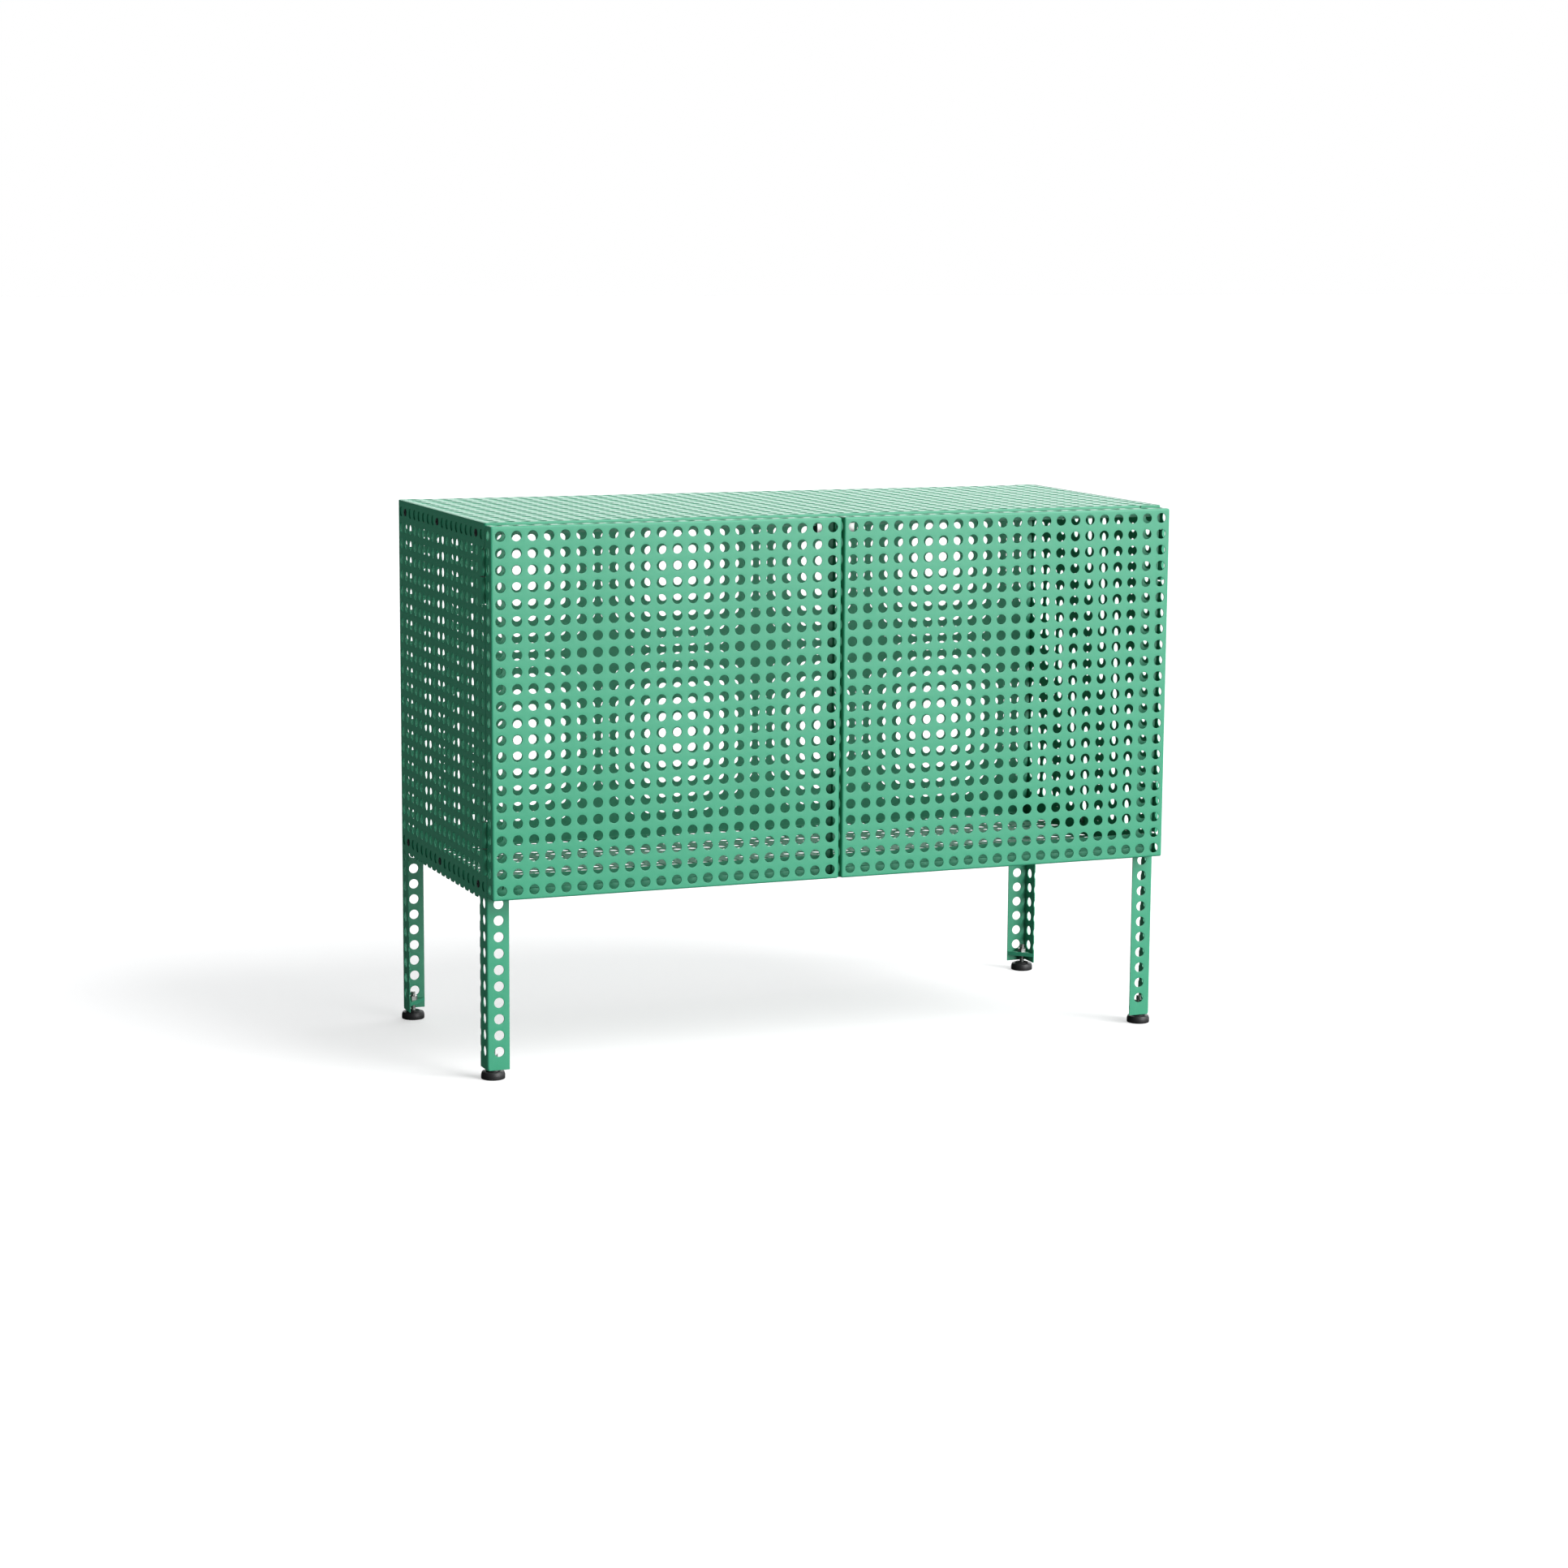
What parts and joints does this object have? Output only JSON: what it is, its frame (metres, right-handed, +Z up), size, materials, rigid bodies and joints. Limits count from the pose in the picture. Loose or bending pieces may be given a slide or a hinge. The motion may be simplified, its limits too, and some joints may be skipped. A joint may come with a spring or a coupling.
{
  "type": "perforated_sheet_steel_cabinet",
  "caption": "Low two-door cabinet of perforated powder-coated sheet steel on folded legs with black levelling feet",
  "frame": {"origin": "on the floor, under the middle of the bounding box", "axes": "+X to the viewer's right of someone facing the doors, -Y out of the front where the doors are, +Z up"},
  "size_m": [0.901, 0.393, 0.668],
  "materials": {
    "powder_coat_green": "satin",
    "black_plastic": "matte",
    "zinc_plated_steel": "satin",
    "black_oxide_steel": "satin",
    "ferrite_magnet": "matte"
  },
  "bodies": {
    "carcass": {"back_panel": "powder_coat_green", "back_rivets": "powder_coat_green", "bottom_panel": "powder_coat_green", "catch_body": "black_plastic", "catch_rivets": "powder_coat_green", "clinch_nuts": "zinc_plated_steel", "front_left_foot_nut": "zinc_plated_steel", "front_left_foot_plate": "powder_coat_green", "front_right_foot_nut": "zinc_plated_steel", "front_right_foot_plate": "powder_coat_green", "left_catch_magnet": "ferrite_magnet", "left_catch_pole_plates": "zinc_plated_steel", "left_lower_hinge_frame_knuckle": "powder_coat_green", "left_lower_hinge_pin": "zinc_plated_steel", "left_lower_hinge_washer": "zinc_plated_steel", "left_upper_hinge_frame_knuckle": "powder_coat_green", "left_upper_hinge_pin": "zinc_plated_steel", "left_upper_hinge_washer": "zinc_plated_steel", "rear_left_foot_nut": "zinc_plated_steel", "rear_left_foot_plate": "powder_coat_green", "rear_right_foot_nut": "zinc_plated_steel", "rear_right_foot_plate": "powder_coat_green", "right_catch_magnet": "ferrite_magnet", "right_catch_pole_plates": "zinc_plated_steel", "right_lower_hinge_frame_knuckle": "powder_coat_green", "right_lower_hinge_pin": "zinc_plated_steel", "right_lower_hinge_washer": "zinc_plated_steel", "right_upper_hinge_frame_knuckle": "powder_coat_green", "right_upper_hinge_pin": "zinc_plated_steel", "right_upper_hinge_washer": "zinc_plated_steel", "side_frame_left": "powder_coat_green", "side_frame_right": "powder_coat_green", "side_screws": "black_oxide_steel", "top_panel": "powder_coat_green"},
    "left_door": {"left_door": "powder_coat_green", "left_door_strike_plate": "zinc_plated_steel", "left_door_strike_rivet": "powder_coat_green", "left_lower_hinge_door_knuckle": "powder_coat_green", "left_upper_hinge_door_knuckle": "powder_coat_green"},
    "right_door": {"right_door": "powder_coat_green", "right_door_strike_plate": "zinc_plated_steel", "right_door_strike_rivet": "powder_coat_green", "right_lower_hinge_door_knuckle": "powder_coat_green", "right_upper_hinge_door_knuckle": "powder_coat_green"},
    "front_left_levelling_foot": {"front_left_foot": "black_plastic", "front_left_foot_stud": "zinc_plated_steel"},
    "front_right_levelling_foot": {"front_right_foot": "black_plastic", "front_right_foot_stud": "zinc_plated_steel"},
    "rear_left_levelling_foot": {"rear_left_foot": "black_plastic", "rear_left_foot_stud": "zinc_plated_steel"},
    "rear_right_levelling_foot": {"rear_right_foot": "black_plastic", "rear_right_foot_stud": "zinc_plated_steel"}
  },
  "joints": [
    {"name": "left_door_hinge", "type": "hinge", "parent": "carcass", "child": "left_door", "pos_m": [-0.4465, -0.17275, 0.444], "axis": [0, 0, -1], "range_deg": [0, 180]},
    {"name": "right_door_hinge", "type": "hinge", "parent": "carcass", "child": "right_door", "pos_m": [0.4465, -0.17275, 0.444], "axis": [0, 0, 1], "range_deg": [0, 180]},
    {"name": "front_left_foot_height", "type": "slide", "parent": "carcass", "child": "front_left_levelling_foot", "axis": [0, 0, -1], "range_m": [0, 0.008]},
    {"name": "front_right_foot_height", "type": "slide", "parent": "carcass", "child": "front_right_levelling_foot", "axis": [0, 0, -1], "range_m": [0, 0.008]},
    {"name": "rear_left_foot_height", "type": "slide", "parent": "carcass", "child": "rear_left_levelling_foot", "axis": [0, 0, -1], "range_m": [0, 0.008]},
    {"name": "rear_right_foot_height", "type": "slide", "parent": "carcass", "child": "rear_right_levelling_foot", "axis": [0, 0, -1], "range_m": [0, 0.008]}
  ]
}
